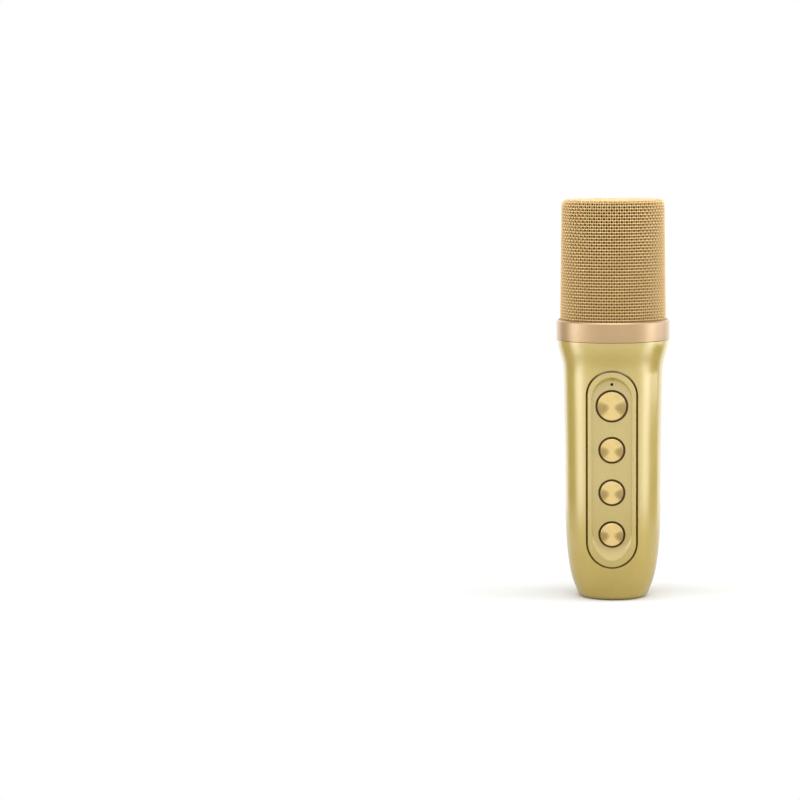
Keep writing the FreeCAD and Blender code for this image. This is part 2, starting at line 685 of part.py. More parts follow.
def domed_outline(inset, low_z):
    """Edges of the basket's outline moved inwards by inset: side, rounded shoulder, flat top."""
    shoulder = max(MESH_SHOULDER_R - inset, 0.8)
    top = TOTAL_HEIGHT - inset
    low_r = basket_radius(low_z) - inset
    high_r = basket_radius(top - shoulder) - inset
    start = vec(high_r, 0, top - shoulder)
    end = vec(high_r - shoulder, 0, top)
    middle = vec(high_r - shoulder * (1 - math.sqrt(0.5)), 0, top - shoulder * (1 - math.sqrt(0.5)))
    return [
        line((0, low_z), (low_r, low_z)),
        line((low_r, low_z), (start.x, start.z)),
        Part.Arc(start, middle, end).toShape(),
        line((end.x, top), (0, top)),
        line((0, top), (0, low_z)),
    ]


def cup(outer_inset, thickness, low_z):
    """A cup with its mouth down, between two insets of the basket's outline."""
    outside = lathe_edges(domed_outline(outer_inset, low_z))
    inside = lathe_edges(domed_outline(outer_inset + thickness, low_z - 5.0))
    return outside.cut(inside).Solids[0]


def grille_basket():
    """The woven basket's envelope, with the thickness of two crossing wires."""
    return cup(0.0, MESH_THICK, MESH_LOW_Z)


def foam_liner():
    return cup(MESH_THICK + FOAM_GAP, FOAM_THICK, COLLAR_HIGH_Z + 0.9)


def basket_retaining_ring():
    """Band that clamps the basket's hem in the collar."""
    return lathe([(19.5, COLLAR_LEDGE_Z + 0.05), (20.35, COLLAR_LEDGE_Z + 0.05),
                  (20.35, COLLAR_HIGH_Z + 0.6), (19.5, COLLAR_HIGH_Z + 0.6)])


# ---- write every sub-part -------------------------------------------------------------------------

def all_parts():
    parts = {
        "body_shell": body_shell(),
        "button_panel": button_panel(),
        "indicator_lens": indicator_lens(),
        "port_plate": port_plate(),
        "port_plate_screws": port_plate_screws(),
        "usb_port_shell": usb_port_shell(),
        "usb_port_tongue": usb_port_tongue(),
        "charging_board": charging_board(),
        "charging_board_screws": charging_board_screws(),
        "charging_leads": charging_leads(),
        "chassis_frame": chassis_frame(),
        "chassis_screws": chassis_screws(),
        "main_board": main_board(),
        "board_screws": board_screws(),
        "indicator_led": indicator_led(),
        "radio_module": radio_module(),
        "audio_processor": audio_processor(),
        "charge_controller": charge_controller(),
        "board_capacitors": board_capacitors(),
        "capsule_socket": capsule_socket(),
        "power_sockets": power_sockets(),
        "battery_cell": battery_cell(),
        "battery_tab_top": battery_tab_top(),
        "battery_tab_bottom": battery_tab_bottom(),
        "battery_leads": battery_leads(),
        "neck_sleeve": neck_sleeve(),
        "capsule_holder": capsule_holder(),
        "holder_screws": holder_screws(),
        "capsule_mount": capsule_mount(),
        "capsule_body": capsule_body(),
        "capsule_cap": capsule_cap(),
        "capsule_leads": capsule_leads(),
        "head_gasket": head_gasket(),
        "collar_ring": collar_ring(),
        "basket_retaining_ring": basket_retaining_ring(),
        "foam_liner": foam_liner(),
        "grille_basket": grille_basket(),
    }
    for name, height, cap_r in BUTTONS:
        parts[name + "_button"] = button_cap(height, cap_r)
        parts[name + "_switch_plunger"] = switch_plunger(height)
        parts[name + "_switch_housing"] = switch_housing(height)
    return parts


def main():
    os.makedirs("parts", exist_ok=True)
    for name, shape in all_parts().items():
        shape.exportStep("parts/" + name + ".step")


main()
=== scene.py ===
import json
import math

import bmesh
import bpy
import numpy as np
from mathutils import Matrix, Vector


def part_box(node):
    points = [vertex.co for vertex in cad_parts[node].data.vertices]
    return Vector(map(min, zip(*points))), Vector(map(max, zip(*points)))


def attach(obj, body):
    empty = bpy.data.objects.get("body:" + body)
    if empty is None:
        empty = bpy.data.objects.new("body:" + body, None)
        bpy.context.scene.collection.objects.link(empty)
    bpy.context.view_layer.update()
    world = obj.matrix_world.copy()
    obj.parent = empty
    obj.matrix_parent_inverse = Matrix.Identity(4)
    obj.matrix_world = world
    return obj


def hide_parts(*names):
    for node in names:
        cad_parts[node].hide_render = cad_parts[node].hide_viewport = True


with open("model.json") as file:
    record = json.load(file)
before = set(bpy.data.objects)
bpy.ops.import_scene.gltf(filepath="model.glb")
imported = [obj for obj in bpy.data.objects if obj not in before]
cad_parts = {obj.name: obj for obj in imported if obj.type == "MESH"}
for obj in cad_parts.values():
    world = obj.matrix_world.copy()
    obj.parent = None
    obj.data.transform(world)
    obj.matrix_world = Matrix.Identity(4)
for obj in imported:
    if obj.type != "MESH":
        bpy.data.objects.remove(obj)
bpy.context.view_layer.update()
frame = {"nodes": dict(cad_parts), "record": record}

# A wireless karaoke microphone standing on its base. Metres, in the CAD model's frame: +Z up along the
# microphone, front towards -Y, base at zero. Lengths named here are in millimetres and pass through MM.

MM = 0.001
NODES = frame["nodes"]


def extent(node):
    """A node's lowest and highest corners in millimetres."""
    low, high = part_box(node)
    return np.array(low) / MM, np.array(high) / MM


BODY_TOP_Z = extent("body_shell")[1][2]
COLLAR_R = extent("collar_ring")[1][0]
COLLAR_LOW_Z, COLLAR_HIGH_Z = extent("collar_ring")[0][2], extent("collar_ring")[1][2]
BASKET_LOW_Z, BASKET_HIGH_Z = extent("grille_basket")[0][2], extent("grille_basket")[1][2]
BASKET_LOW_R = extent("grille_basket")[1][0]
PANEL_HALF_WIDTH = extent("button_panel")[1][0]
PANEL_LOW_Z, PANEL_HIGH_Z = extent("button_panel")[0][2], extent("button_panel")[1][2]

# Barrel outline stations as (height, radius), the same as the CAD shell's
BARREL = [(0.0, 12.4), (0.9, 13.85), (2.7, 14.65), (5.3, 15.7), (9.0, 16.85), (14.0, 17.8), (22.0, 18.65),
          (32.0, 19.2), (56.0, 19.53), (76.0, 19.85), (90.0, 20.13), (93.0, 20.3), (96.0, 20.9),
          (99.5, 21.9), (102.0, 22.42)]
GROOVE_GAP = 0.75
GROOVE_DEPTH = 2.8
SHELL_WALL = 2.0
SOCKET_R = 18.6
FOOT_HOLE_R = 7.0
PORT_SEAT_R = 10.2
FACE_INSET = 2.15
PANEL_BACK_INSET = 3.5
BUTTON_FLANGE = 1.25
BUTTON_GAP = 0.85

# Woven wire: number of upright wires, height from hoop to hoop, wire diameters, sideways sway of the
# uprights, height of each crimp, and depth of the weave's middle below its outside
UPRIGHTS = 128
HOOP_PITCH = 1.155
HOOP_WIRE = 0.43
UPRIGHT_WIRE = 0.35
SWAY = 0.10
CRIMP = (HOOP_WIRE + UPRIGHT_WIRE) / 4
SKIN = CRIMP + HOOP_WIRE / 2
SHOULDER_R = 3.7
BASKET_TOP_R = 20.7
CROWN_R = 17.1


# ---- curves and outlines --------------------------------------------------------------------------

def spline_through(points, count):
    """Natural cubic spline through the points, with chord length as its parameter."""
    points = np.array(points, float)
    steps = np.linalg.norm(np.diff(points, axis=0), axis=1)
    at = np.concatenate([[0.0], np.cumsum(steps)])
    size = len(points)
    system = np.eye(size)
    right = np.zeros_like(points)
    for i in range(1, size - 1):
        before, after = steps[i - 1], steps[i]
        system[i, i - 1:i + 2] = before, 2 * (before + after), after
        right[i] = 6 * ((points[i + 1] - points[i]) / after - (points[i] - points[i - 1]) / before)
    bend = np.linalg.solve(system, right)
    where = np.linspace(0, at[-1], count)
    span = np.clip(np.searchsorted(at, where) - 1, 0, size - 2)
    h = steps[span][:, None]
    a = (at[span + 1] - where)[:, None] / h
    b = 1 - a
    curve = a * points[span] + b * points[span + 1]
    return curve + ((a**3 - a) * bend[span] + (b**3 - b) * bend[span + 1]) * h**2 / 6


def rounded(corners, steps=6):
    """An outline through (radius, height, fillet) corners: each fillet is a quadratic curve between the
    points one fillet length before and after its corner."""
    corners = np.array(corners, float)
    outline = [corners[0, :2]]
    share = np.linspace(0, 1, steps + 1)[:, None]
    for before, corner, after in zip(corners, corners[1:], corners[2:]):
        point, fillet = corner[:2], corner[2]
        start = point + (before[:2] - point) * min(0.5, fillet / np.linalg.norm(before[:2] - point))
        end = point + (after[:2] - point) * min(0.5, fillet / np.linalg.norm(after[:2] - point))
        outline.extend((1 - share)**2 * start + 2 * share * (1 - share) * point + share**2 * end)
    outline.append(corners[-1, :2])
    return np.array(outline)


BARREL_LINE = spline_through(BARREL, 3000)


def barrel_r(z):
    """Barrel radius at a height, read off the outline."""
    return np.interp(z, BARREL_LINE[:, 0], BARREL_LINE[:, 1])


def barrel_front(x, z):
    """Y of the barrel's front surface over a point of the XZ plane."""
    return -np.sqrt(np.maximum(barrel_r(z)**2 - x**2, 0.0))


def stadium(half_width, low, high, upright, over):
    """Points round a stadium in (x, z), anticlockwise from the low end of its right side, and the
    outward direction at each. Both straight sides have `upright` steps, both half circles `over` steps."""
    low_centre, high_centre = low + half_width, high - half_width
    rise = np.linspace(low_centre, high_centre, upright + 1)[:-1]
    turn = np.linspace(0, math.pi, over + 1)[:-1]
    angles = np.concatenate([0 * rise, turn, 0 * rise + math.pi, turn + math.pi])
    centres = np.concatenate([rise, 0 * turn + high_centre, rise[::-1] + rise[1] - rise[0],
                              0 * turn + low_centre])
    outward = np.stack([np.cos(angles), np.sin(angles)], axis=1)
    points = outward * half_width
    points[:, 1] += centres
    return points, outward


# ---- meshes ---------------------------------------------------------------------------------------

def grid_quads(rows, columns, first, wrap_columns):
    """Corner numbers of the quads of a rows by columns grid whose points start at number `first`."""
    index = first + np.arange(rows * columns).reshape(rows, columns)
    if wrap_columns:
        index = np.concatenate([index, index[:, :1]], axis=1)
    corners = [index[:-1, :-1], index[:-1, 1:], index[1:, 1:], index[1:, :-1]]
    return np.stack(corners, axis=-1).reshape(-1, 4)


def make_mesh(name, grids, weld=True):
    """A mesh from (points, wrap) grids in millimetres: welded where they meet, faces turned outwards."""
    points, faces, first = [], [], 0
    for grid, wrap in grids:
        rows, columns = grid.shape[:2]
        points.append(grid.reshape(-1, 3))
        faces.append(grid_quads(rows, columns, first, wrap))
        first += rows * columns
    mesh = bpy.data.meshes.new(name)
    mesh.from_pydata((np.concatenate(points) * MM).tolist(), [], np.concatenate(faces).tolist())
    if weld:
        work = bmesh.new()
        work.from_mesh(mesh)
        bmesh.ops.remove_doubles(work, verts=work.verts, dist=1e-3 * MM)
        bmesh.ops.recalc_face_normals(work, faces=work.faces)
        work.to_mesh(mesh)
        work.free()
    mesh.update()
    return mesh


def place(name, mesh, body, material, stands_for=(), crease=35):
    """Put a mesh into the scene as a piece riding on a body, with its finish and the nodes it replaces."""
    mesh.shade_smooth()
    mesh.set_sharp_from_angle(angle=math.radians(crease))
    mesh.materials.append(material)
    piece = bpy.data.objects.new(name, mesh)
    bpy.context.scene.collection.objects.link(piece)
    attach(piece, body)
    if stands_for:
        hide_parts(*stands_for)
    return piece


def turned(outline, steps):
    """A grid of an outline of (radius, height) turned about Z: radius times cosine and sine of the angle."""
    angle = np.linspace(0, 2 * math.pi, steps, endpoint=False)
    radius, height = outline[:, :1], outline[:, 1:]
    return np.stack([radius * np.cos(angle), radius * np.sin(angle), height + 0 * angle], axis=-1)


def apply_modifiers(piece):
    """Turn a piece's modifiers into mesh."""
    graph = bpy.context.evaluated_depsgraph_get()
    mesh = bpy.data.meshes.new_from_object(piece.evaluated_get(graph))
    piece.modifiers.clear()
    old = piece.data
    piece.data = mesh
    bpy.data.meshes.remove(old)


def polar_uv(mesh, centre, axis):
    """UV map of a turned piece about `axis` (0, 1 or 2) through `centre`: u is the angle in turns and v
    the radius in millimetres. Each face's corners take the angle nearest to that of the face's middle."""
    co = np.empty(len(mesh.vertices) * 3)
    mesh.vertices.foreach_get("co", co)
    co = co.reshape(-1, 3) / MM - np.array(centre)
    across, along = [(1, 2), (0, 2), (0, 1)][axis]
    loops = np.empty(len(mesh.loops), int)
    mesh.loops.foreach_get("vertex_index", loops)
    totals = np.empty(len(mesh.polygons), int)
    mesh.polygons.foreach_get("loop_total", totals)
    face = np.repeat(np.arange(len(totals)), totals)
    corner = co[loops][:, [across, along]]
    middle = np.stack([np.bincount(face, corner[:, k]) / totals for k in (0, 1)], axis=1)[face]
    near = np.arctan2(middle[:, 1], middle[:, 0])
    own = np.arctan2(corner[:, 1], corner[:, 0])
    radius = np.hypot(corner[:, 0], corner[:, 1])
    turn = np.where(radius < 1e-6, 0.0, (own - near + math.pi) % (2 * math.pi) - math.pi)
    uv = np.stack([(near + turn) / (2 * math.pi), radius], axis=1)
    mesh.uv_layers.new(name="polar").data.foreach_set("uv", uv.ravel())


def tube_mesh(name, lines, radius, sides, towards, closed=False):
    """Round wires along centre lines, an array of (wire, point, xyz) in millimetres. Each ring is a circle
    square to the line's tangent, laid out from the `towards` direction. Open ends get flat caps."""
    ahead = np.roll(lines, -1, axis=1) - np.roll(lines, 1, axis=1)
    if not closed:
        ahead[:, 0] = lines[:, 1] - lines[:, 0]
        ahead[:, -1] = lines[:, -1] - lines[:, -2]
    ahead /= np.linalg.norm(ahead, axis=-1, keepdims=True)
    side = np.cross(towards, ahead)
    side /= np.linalg.norm(side, axis=-1, keepdims=True)
    up = np.cross(ahead, side)
    angle = np.linspace(0, 2 * math.pi, sides, endpoint=False)
    ring = np.cos(angle)[:, None] * side[:, :, None] + np.sin(angle)[:, None] * up[:, :, None]
    points = lines[:, :, None] + radius * ring
    wires, length = lines.shape[:2]
    index = np.arange(wires * length * sides).reshape(wires, length, sides)
    here = np.concatenate([index, index[:, :1]], axis=1) if closed else index
    turned_index = np.roll(here, -1, axis=2)
    corners = [here[:, :-1], turned_index[:, :-1], turned_index[:, 1:], here[:, 1:]]
    faces = np.stack(corners, axis=-1).reshape(-1, 4).tolist()
    if not closed:
        faces += index[:, 0, ::-1].tolist() + index[:, -1].tolist()
    mesh = bpy.data.meshes.new(name)
    mesh.from_pydata((points.reshape(-1, 3) * MM).tolist(), [], faces)
    mesh.update()
    return mesh


# ---- materials ------------------------------------------------------------------------------------

def linear(hex_colour):
    """An sRGB hex colour as linear RGBA."""
    parts = np.array([int(hex_colour[i:i + 2], 16) for i in (1, 3, 5)]) / 255
    light = np.where(parts <= 0.04045, parts / 12.92, ((parts + 0.055) / 1.055)**2.4)
    return (*light.tolist(), 1.0)


def add(tree, kind, settings=None, values=None, **links):
    """Add a node, set its properties and its sockets' values, and link its sockets to other outputs."""
    node = tree.nodes.new(kind)
    for key, value in (settings or {}).items():
        setattr(node, key, value)
    for key, value in (values or {}).items():
        node.inputs[key].default_value = value
    for key, output in links.items():
        tree.links.new(output, node.inputs[key.replace("_", " ")])
    return node


def new_material(name):
    """A material with a Principled shader, and its coordinates in millimetres from Object space."""
    material = bpy.data.materials.new(name)
    material.use_nodes = True
    tree = material.node_tree
    shader = tree.nodes["Principled BSDF"]
    coordinates = add(tree, "ShaderNodeTexCoord")
    scale = add(tree, "ShaderNodeMapping", values={"Scale": (1 / MM, 1 / MM, 1 / MM)},
                Vector=coordinates.outputs["Object"])
    return material, tree, shader, scale.outputs["Vector"]


def set_shader(shader, **values):
    """Set constants on a shader's sockets, an underscore standing for each space in a name."""
    for key, value in values.items():
        shader.inputs[key.replace("_", " ")].default_value = value


def spread(tree, value, low, high, dark, light):
    """A colour between two hex colours as a value runs from low to high."""
    ramp = add(tree, "ShaderNodeValToRGB", Fac=value)
    ramp.color_ramp.elements[0].position = low
    ramp.color_ramp.elements[1].position = high
    ramp.color_ramp.elements[0].color = linear(dark)
    ramp.color_ramp.elements[1].color = linear(light)
    return ramp.outputs["Color"]


def ranged(tree, value, low, high, to_low, to_high):
    """A value mapped from the range low to high onto the range to_low to to_high."""
    return add(tree, "ShaderNodeMapRange", values={1: low, 2: high, 3: to_low, 4: to_high},
               Value=value).outputs["Result"]


def metallic_lacquer(name, dark, light):
    """Metallic acrylic lacquer on moulded ABS, under a clear coat: fine aluminium flakes glitter softly in a
    warm gold binder, and the clear coat has a faint orange peel. Flakes are really 0.03 mm; they are
    drawn at 0.16 mm so that they show. Orange peel is about 2 mm from crest to crest."""
    material, tree, shader, place_mm = new_material(name)
    flakes = add(tree, "ShaderNodeTexVoronoi", values={"Scale": 1 / 0.16}, Vector=place_mm)
    clouds = add(tree, "ShaderNodeTexNoise", values={"Scale": 1 / 9.0, "Detail": 3.0}, Vector=place_mm)
    glint = add(tree, "ShaderNodeSeparateColor", Color=flakes.outputs["Color"])
    tone = add(tree, "ShaderNodeMath", {"operation": "MULTIPLY_ADD"}, {1: 0.35, 2: 0.32})
    tree.links.new(glint.outputs["Red"], tone.inputs[0])
    mixed = add(tree, "ShaderNodeMath", {"operation": "MULTIPLY_ADD"}, {1: 0.35})
    tree.links.new(clouds.outputs["Fac"], mixed.inputs[0])
    tree.links.new(tone.outputs[0], mixed.inputs[2])
    tree.links.new(spread(tree, mixed.outputs[0], 0.3, 1.0, dark, light), shader.inputs["Base Color"])
    peel = add(tree, "ShaderNodeTexNoise", values={"Scale": 1 / 2.0, "Detail": 1.0}, Vector=place_mm)
    rough = ranged(tree, clouds.outputs["Fac"], 0.3, 0.7, 0.22, 0.26)
    tree.links.new(rough, shader.inputs["Roughness"])
    coat_bump = add(tree, "ShaderNodeBump", values={"Strength": 0.06, "Distance": 0.05 * MM},
                    Height=peel.outputs["Fac"])
    flake_bump = add(tree, "ShaderNodeBump", values={"Strength": 0.12, "Distance": 0.02 * MM},
                     Height=flakes.outputs["Distance"])
    tree.links.new(coat_bump.outputs["Normal"], shader.inputs["Coat Normal"])
    tree.links.new(flake_bump.outputs["Normal"], shader.inputs["Normal"])
    set_shader(shader, Metallic=0.12, IOR=1.7, Specular_IOR_Level=1.0, Coat_Weight=1.0, Coat_Roughness=0.09)
    return material


def anodised_aluminium(name, dark, light, rough):
    """Fine-blasted and anodised aluminium: a satin metal with a faint grain of about 0.25 mm and barely
    visible lathe lines 0.4 mm apart round the turned face."""
    material, tree, shader, place_mm = new_material(name)
    grain = add(tree, "ShaderNodeTexNoise", values={"Scale": 1 / 0.25, "Detail": 2.0}, Vector=place_mm)
    clouds = add(tree, "ShaderNodeTexNoise", values={"Scale": 1 / 12.0, "Detail": 2.0}, Vector=place_mm)
    lathe = add(tree, "ShaderNodeTexWave", {"wave_type": "BANDS", "bands_direction": "Z"},
                {"Scale": 0.5 / 0.4, "Distortion": 0.6, "Detail": 1.0, "Detail Scale": 0.4},
                Vector=place_mm)
    tree.links.new(spread(tree, clouds.outputs["Fac"], 0.3, 0.7, dark, light),
                   shader.inputs["Base Color"])
    tree.links.new(ranged(tree, grain.outputs["Fac"], 0.3, 0.7, rough - 0.04, rough + 0.04),
                   shader.inputs["Roughness"])
    fine = add(tree, "ShaderNodeBump", values={"Strength": 0.15, "Distance": 0.02 * MM},
               Height=grain.outputs["Fac"])
    lines = add(tree, "ShaderNodeBump", values={"Strength": 0.08, "Distance": 0.02 * MM},
                Height=lathe.outputs["Fac"], Normal=fine.outputs["Normal"])
    tree.links.new(lines.outputs["Normal"], shader.inputs["Normal"])
    set_shader(shader, Metallic=0.35, IOR=1.85, Specular_IOR_Level=1.0, Coat_Weight=1.0, Coat_Roughness=0.28)
    return material


# The spun caps' dark wedges of painted shade lie to the right and left, this far below level
SHADE_WEDGE_FALL = math.radians(12)


def spun_aluminium(name, dark, light):
    """Gold anodised aluminium faced with a spinning brush: fine circular scratches round each cap's
    centre stretch its highlights. A wedge on either side carries painted shade, its colour mixed towards
    dark brown gold. Scratches are drawn 0.12 mm apart. A wedge's share is a smooth step of the cosine of
    the angle from its middle, and fades out towards the cap's centre between 2.6 and 0.4 mm."""
    material, tree, shader, place_mm = new_material(name)
    polar = add(tree, "ShaderNodeUVMap", {"uv_map": "polar"})
    parts = add(tree, "ShaderNodeSeparateXYZ", Vector=polar.outputs["UV"])
    turn = add(tree, "ShaderNodeMath", {"operation": "MULTIPLY"}, {1: 2 * math.pi})
    tree.links.new(parts.outputs["X"], turn.inputs[0])
    across = add(tree, "ShaderNodeMath", {"operation": "COSINE"})
    tree.links.new(turn.outputs[0], across.inputs[0])
    up = add(tree, "ShaderNodeMath", {"operation": "SINE"})
    tree.links.new(turn.outputs[0], up.inputs[0])
    ring = add(tree, "ShaderNodeMath", {"operation": "MULTIPLY"}, {1: 1 / 0.12})
    tree.links.new(parts.outputs["Y"], ring.inputs[0])
    circle = add(tree, "ShaderNodeCombineXYZ", X=across.outputs[0], Y=up.outputs[0], Z=ring.outputs[0])
    scratches = add(tree, "ShaderNodeTexNoise", values={"Scale": 1.0, "Detail": 3.0, "Roughness": 0.6},
                    Vector=circle.outputs["Vector"])
    either_side = add(tree, "ShaderNodeMath", {"operation": "ABSOLUTE"})
    tree.links.new(across.outputs[0], either_side.inputs[0])
    lean = add(tree, "ShaderNodeVectorMath", {"operation": "DOT_PRODUCT"}, 
               {1: (math.cos(SHADE_WEDGE_FALL), -math.sin(SHADE_WEDGE_FALL), 0.0)})
    facing = add(tree, "ShaderNodeCombineXYZ", X=either_side.outputs[0], Y=up.outputs[0])
    tree.links.new(facing.outputs["Vector"], lean.inputs[0])
    wedge = add(tree, "ShaderNodeMapRange", {"interpolation_type": "SMOOTHSTEP"},
                {1: 0.72, 2: 1.0, 3: 0.0, 4: 0.6}, Value=lean.outputs["Value"])
    middle_clear = add(tree, "ShaderNodeMapRange", {"interpolation_type": "SMOOTHSTEP"},
                       {1: 0.4, 2: 2.6, 3: 0.0, 4: 1.0}, Value=parts.outputs["Y"])
    painted_shade_share = add(tree, "ShaderNodeMath", {"operation": "MULTIPLY"})
    tree.links.new(wedge.outputs["Result"], painted_shade_share.inputs[0])
    tree.links.new(middle_clear.outputs["Result"], painted_shade_share.inputs[1])
    gold = spread(tree, scratches.outputs["Fac"], 0.3, 0.7, dark, light)
    # Painted shade: the cap's base colour goes towards dark brown gold in the wedges to the left and right
    shaded = add(tree, "ShaderNodeMix", {"data_type": "RGBA"}, {7: linear("#8a6c2c")},
                 Factor=painted_shade_share.outputs[0])
    tree.links.new(gold, shaded.inputs[6])
    tree.links.new(shaded.outputs[2], shader.inputs["Base Color"])
    tree.links.new(ranged(tree, scratches.outputs["Fac"], 0.3, 0.7, 0.52, 0.62),
                   shader.inputs["Roughness"])
    bump = add(tree, "ShaderNodeBump", values={"Strength": 0.2, "Distance": 0.01 * MM},
               Height=scratches.outputs["Fac"])
    tangent = add(tree, "ShaderNodeTangent", {"direction_type": "UV_MAP", "uv_map": "polar"})
    tree.links.new(bump.outputs["Normal"], shader.inputs["Normal"])
    tree.links.new(tangent.outputs["Tangent"], shader.inputs["Tangent"])
    set_shader(shader, Metallic=0.9, Anisotropic=0.85, Anisotropic_Rotation=0.25)
    return material


def lacquered_wire(name, dark, light):
    """Drawn steel wire under gold lacquer: satin, a little darker and smoother in random patches.
    The variation runs over about 1.5 mm of wire."""
    material, tree, shader, place_mm = new_material(name)
    pools = add(tree, "ShaderNodeTexNoise", values={"Scale": 1 / 1.5, "Detail": 2.0}, Vector=place_mm)
    tree.links.new(spread(tree, pools.outputs["Fac"], 0.3, 0.7, dark, light),
                   shader.inputs["Base Color"])
    tree.links.new(ranged(tree, pools.outputs["Fac"], 0.3, 0.7, 0.28, 0.42), shader.inputs["Roughness"])
    set_shader(shader, Metallic=0.15, IOR=1.7, Specular_IOR_Level=1.0, Coat_Weight=1.0, Coat_Roughness=0.12)
    return material


def open_foam(name, dark, light):
    """Open-cell polyurethane foam: matt, with cells about 0.7 mm across, each darker towards its middle as
    painted shade in its hollow.
    """
    material, tree, shader, place_mm = new_material(name)
    cells = add(tree, "ShaderNodeTexVoronoi", {"feature": "DISTANCE_TO_EDGE"}, {"Scale": 1 / 0.7},
                Vector=place_mm)
    # Painted shade: each cell is lighter at its walls and darker towards its middle
    tree.links.new(spread(tree, cells.outputs["Distance"], 0.0, 0.5, light, dark),
                   shader.inputs["Base Color"])
    bump = add(tree, "ShaderNodeBump", {"invert": True}, {"Strength": 0.8, "Distance": 0.3 * MM},
               Height=cells.outputs["Distance"])
    tree.links.new(bump.outputs["Normal"], shader.inputs["Normal"])
    set_shader(shader, Roughness=0.95, Specular_IOR_Level=0.2)
    return material


def moulded(name, dark, light, rough, grain_mm=0.4, depth_mm=0.02, specular=0.5):
    """Moulded plastic or rubber: one colour with a slight mottle, and a fine spark-eroded grain."""
    material, tree, shader, place_mm = new_material(name)
    mottle = add(tree, "ShaderNodeTexNoise", values={"Scale": 1 / 6.0, "Detail": 3.0}, Vector=place_mm)
    grain = add(tree, "ShaderNodeTexNoise", values={"Scale": 1 / grain_mm, "Detail": 2.0},
                Vector=place_mm)
    tree.links.new(spread(tree, mottle.outputs["Fac"], 0.3, 0.7, dark, light),
                   shader.inputs["Base Color"])
    tree.links.new(ranged(tree, grain.outputs["Fac"], 0.3, 0.7, rough - 0.06, rough + 0.06),
                   shader.inputs["Roughness"])
    bump = add(tree, "ShaderNodeBump", values={"Strength": 0.4, "Distance": depth_mm * MM},
               Height=grain.outputs["Fac"])
    tree.links.new(bump.outputs["Normal"], shader.inputs["Normal"])
    set_shader(shader, Specular_IOR_Level=specular)
    return material


def plated_steel(name, dark, light, rough):
    """Nickel-plated steel: bright metal with fine handling marks about 0.3 mm apart."""
    material, tree, shader, place_mm = new_material(name)
    marks = add(tree, "ShaderNodeTexNoise", values={"Scale": 1 / 0.3, "Detail": 4.0}, Vector=place_mm)
    tree.links.new(spread(tree, marks.outputs["Fac"], 0.3, 0.7, dark, light),
                   shader.inputs["Base Color"])
    tree.links.new(ranged(tree, marks.outputs["Fac"], 0.3, 0.7, rough - 0.08, rough + 0.08),
                   shader.inputs["Roughness"])
    set_shader(shader, Metallic=1.0)
    return material


def glass_epoxy(name):
    """Glass-epoxy circuit board under green solder mask: copper tracks 0.3 mm wide show through as paler
    green bands, over a weave of glass cloth about 0.5 mm across."""
    material, tree, shader, place_mm = new_material(name)
    tracks = add(tree, "ShaderNodeTexBrick", {"offset": 0.37}, {"Scale": 0.35, "Mortar Size": 0.05},
                 Vector=place_mm)
    weave = add(tree, "ShaderNodeTexNoise", values={"Scale": 1 / 0.5}, Vector=place_mm)
    tree.links.new(spread(tree, tracks.outputs["Fac"], 0.2, 0.8, "#0d4a2a", "#1c6b3f"),
                   shader.inputs["Base Color"])
    bump = add(tree, "ShaderNodeBump", values={"Strength": 0.2, "Distance": 0.02 * MM},
               Height=weave.outputs["Fac"])
    tree.links.new(bump.outputs["Normal"], shader.inputs["Normal"])
    set_shader(shader, Roughness=0.35)
    return material


FINISH = {
    "gold_lacquer": metallic_lacquer("gold metallic lacquer", "#ac9228", "#c0a83c"),
    # The panel's lacquer is the body's lacquer in paler colours: painted light for the panel's flat face
    "panel_lacquer": metallic_lacquer("gold metallic lacquer paler copy as painted light", "#b0973c", "#c4af56"),
    "collar_anodised": anodised_aluminium("rose champagne anodised aluminium", "#a8803e", "#b48c4a", 0.36),
    "cap_anodised": spun_aluminium("gold anodised spun aluminium with painted shade wedges", "#f0cf84", "#fdeaae"),
    "mesh_wire": lacquered_wire("gold lacquered woven wire", "#dcae58", "#eec876"),
    "open_cell_foam": open_foam("brown open-cell foam", "#0a0502", "#1c1006"),
    "black_rubber": moulded("black nitrile rubber", "#0e0d0c", "#1a1917", 0.75),
    "smoked_lens": moulded("smoked acrylic lens", "#020202", "#040303", 0.35, 0.8, 0.002, 0.2),
    "steel_plated": plated_steel("nickel-plated steel", "#a9a8a4", "#c8c7c2", 0.28),
    "black_plastic": moulded("black moulded nylon", "#141414", "#1f1f1f", 0.5),
    "white_plastic": moulded("white moulded nylon", "#d8d5cc", "#e8e6df", 0.45),
    "circuit_board": glass_epoxy("green glass-epoxy board"),
    "cell_wrap": moulded("blue shrink-wrap film", "#1f3f74", "#2c5290", 0.25, 1.5, 0.01),
    "capsule_alloy": plated_steel("die-cast zinc alloy", "#77777a", "#8e8e90", 0.45),
    "lead_insulation": moulded("red PVC lead insulation", "#7a120c", "#951a12", 0.4, 0.6, 0.004),
}


# Nodes whose finish is not their slot's
NODE_FINISH = {
    "basket_retaining_ring": moulded("black oxide steel", "#0c0b0a", "#171513", 0.45, 0.5, 0.01),
}


# The skirt under each metal cap face, which starts this far behind the face; it is coloured dark brown as
# painted shade for the gap round the cap
SKIRT_START = 0.7
SKIRT_PAINTED_SHADE = moulded("dark brown painted shade on cap skirts", "#6a4c20", "#7a5a2a", 0.5)


def finish_frame_nodes():
    """Give every CAD node the finish of its material slot."""
    for part in frame["record"]["subparts"]:
        node = NODES[part["node"]]
        material = NODE_FINISH.get(part["node"], FINISH[part["material_slot"]])
        if not node.material_slots:
            node.data.materials.append(material)
        for material_slot in node.material_slots:
            material_slot.material = material


# ---- handle ---------------------------------------------------------------------------------------

